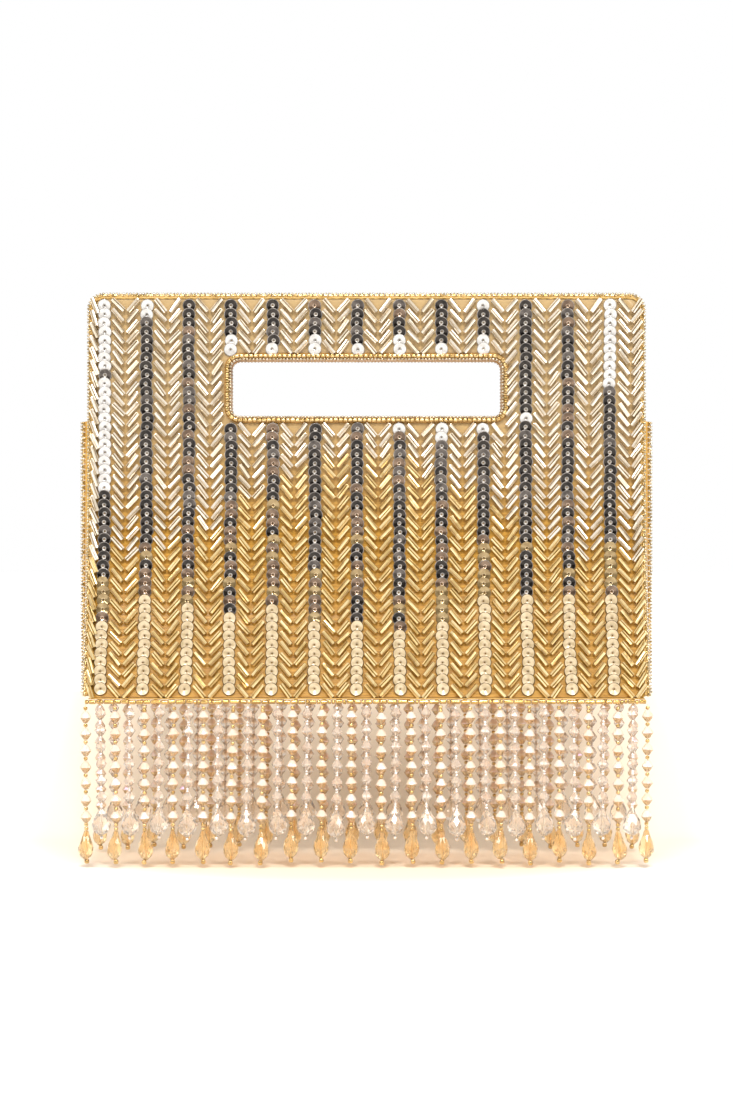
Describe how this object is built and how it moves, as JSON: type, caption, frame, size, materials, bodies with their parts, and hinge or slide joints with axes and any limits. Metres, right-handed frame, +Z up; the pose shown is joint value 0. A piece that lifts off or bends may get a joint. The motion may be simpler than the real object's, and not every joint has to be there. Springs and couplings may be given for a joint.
{
  "type": "evening bag",
  "caption": "Stiff beaded evening bag with a cut-out hand opening, sequin columns, herringbone bugle beads and a swinging crystal fringe.",
  "frame": {"origin": "middle of the top edge of the hand opening, half way between the front and back panels", "axes": "+Z up, front panel facing -Y, +X to the viewer's right when the front is seen"},
  "size_m": [0.248, 0.0572, 0.244],
  "materials": {
    "board": "matte",
    "satin": "satin weave, soft sheen",
    "lining": "smooth satin lining",
    "satin_cord": "twisted satin cord",
    "gold_beads": "gold-lined glass, glossy",
    "silver_bugles": "silver-lined glass tubes, glossy",
    "gold_bugles": "gold-lined glass tubes, glossy",
    "sequins": "metallised film, mirror bright",
    "snap_metal": "polished pale gold plating",
    "washer_steel": "plated",
    "magnet": "dark sintered ring magnet",
    "amber_crystal": "faceted crystal with an iridescent coat",
    "clear_crystal": "faceted clear crystal"
  },
  "bodies": {
    "back_and_base": {"back_board": "board", "back_face_cloth": "satin", "back_lining": "lining", "back_edge_cord": "satin_cord", "back_edge_beads": "gold_beads", "back_grip_facing": "satin", "back_grip_beads": "gold_beads", "back_silver_bugles": "silver_bugles", "back_gold_bugles": "gold_bugles", "back_sequins": "sequins", "snap_socket": "snap_metal", "snap_magnet": "magnet", "snap_socket_washer": "washer_steel", "base_board": "board", "base_cloth": "satin", "base_lining": "lining", "left_gusset": "satin", "right_gusset": "satin", "left_gusset_beads": "gold_beads", "right_gusset_beads": "gold_beads", "front_fringe_tape": "satin", "front_header_beads": "gold_beads", "back_fringe_tape": "satin", "back_header_beads": "gold_beads"},
    "front_panel": {"front_board": "board", "front_face_cloth": "satin", "front_lining": "lining", "front_edge_cord": "satin_cord", "front_edge_beads": "gold_beads", "front_grip_facing": "satin", "front_grip_beads": "gold_beads", "front_silver_bugles": "silver_bugles", "front_gold_bugles": "gold_bugles", "front_sequins": "sequins", "snap_stud": "snap_metal", "snap_stud_washer": "washer_steel"},
    "front_fringe_1": {"front_fringe_1_amber": "amber_crystal", "front_fringe_1_clear": "clear_crystal"},
    "front_fringe_2": {"front_fringe_2_amber": "amber_crystal", "front_fringe_2_clear": "clear_crystal"},
    "front_fringe_3": {"front_fringe_3_amber": "amber_crystal", "front_fringe_3_clear": "clear_crystal"},
    "front_fringe_4": {"front_fringe_4_amber": "amber_crystal", "front_fringe_4_clear": "clear_crystal"},
    "front_fringe_5": {"front_fringe_5_amber": "amber_crystal", "front_fringe_5_clear": "clear_crystal"},
    "front_fringe_6": {"front_fringe_6_amber": "amber_crystal", "front_fringe_6_clear": "clear_crystal"},
    "back_fringe_1": {"back_fringe_1_amber": "amber_crystal", "back_fringe_1_clear": "clear_crystal"},
    "back_fringe_2": {"back_fringe_2_amber": "amber_crystal", "back_fringe_2_clear": "clear_crystal"},
    "back_fringe_3": {"back_fringe_3_amber": "amber_crystal", "back_fringe_3_clear": "clear_crystal"},
    "back_fringe_4": {"back_fringe_4_amber": "amber_crystal", "back_fringe_4_clear": "clear_crystal"},
    "back_fringe_5": {"back_fringe_5_amber": "amber_crystal", "back_fringe_5_clear": "clear_crystal"},
    "back_fringe_6": {"back_fringe_6_amber": "amber_crystal", "back_fringe_6_clear": "clear_crystal"}
  },
  "joints": [
    {"name": "mouth_open", "type": "hinge", "parent": "back_and_base", "child": "front_panel", "pos_m": [0, -0.025, -0.1435], "axis": [1, 0, 0], "range_deg": [0, 15]},
    {"name": "front_fringe_1_swing", "type": "hinge", "parent": "back_and_base", "child": "front_fringe_1", "pos_m": [0, -0.0246, -0.1454], "axis": [-1, 0, 0], "range_deg": [-15, 60]},
    {"name": "front_fringe_2_swing", "type": "hinge", "parent": "back_and_base", "child": "front_fringe_2", "pos_m": [0, -0.0246, -0.1454], "axis": [-1, 0, 0], "range_deg": [-15, 60]},
    {"name": "front_fringe_3_swing", "type": "hinge", "parent": "back_and_base", "child": "front_fringe_3", "pos_m": [0, -0.0246, -0.1454], "axis": [-1, 0, 0], "range_deg": [-15, 60]},
    {"name": "front_fringe_4_swing", "type": "hinge", "parent": "back_and_base", "child": "front_fringe_4", "pos_m": [0, -0.0246, -0.1454], "axis": [-1, 0, 0], "range_deg": [-15, 60]},
    {"name": "front_fringe_5_swing", "type": "hinge", "parent": "back_and_base", "child": "front_fringe_5", "pos_m": [0, -0.0246, -0.1454], "axis": [-1, 0, 0], "range_deg": [-15, 60]},
    {"name": "front_fringe_6_swing", "type": "hinge", "parent": "back_and_base", "child": "front_fringe_6", "pos_m": [0, -0.0246, -0.1454], "axis": [-1, 0, 0], "range_deg": [-15, 60]},
    {"name": "back_fringe_1_swing", "type": "hinge", "parent": "back_and_base", "child": "back_fringe_1", "pos_m": [0, 0.0246, -0.1454], "axis": [1, 0, 0], "range_deg": [-15, 60]},
    {"name": "back_fringe_2_swing", "type": "hinge", "parent": "back_and_base", "child": "back_fringe_2", "pos_m": [0, 0.0246, -0.1454], "axis": [1, 0, 0], "range_deg": [-15, 60]},
    {"name": "back_fringe_3_swing", "type": "hinge", "parent": "back_and_base", "child": "back_fringe_3", "pos_m": [0, 0.0246, -0.1454], "axis": [1, 0, 0], "range_deg": [-15, 60]},
    {"name": "back_fringe_4_swing", "type": "hinge", "parent": "back_and_base", "child": "back_fringe_4", "pos_m": [0, 0.0246, -0.1454], "axis": [1, 0, 0], "range_deg": [-15, 60]},
    {"name": "back_fringe_5_swing", "type": "hinge", "parent": "back_and_base", "child": "back_fringe_5", "pos_m": [0, 0.0246, -0.1454], "axis": [1, 0, 0], "range_deg": [-15, 60]},
    {"name": "back_fringe_6_swing", "type": "hinge", "parent": "back_and_base", "child": "back_fringe_6", "pos_m": [0, 0.0246, -0.1454], "axis": [1, 0, 0], "range_deg": [-15, 60]}
  ]
}
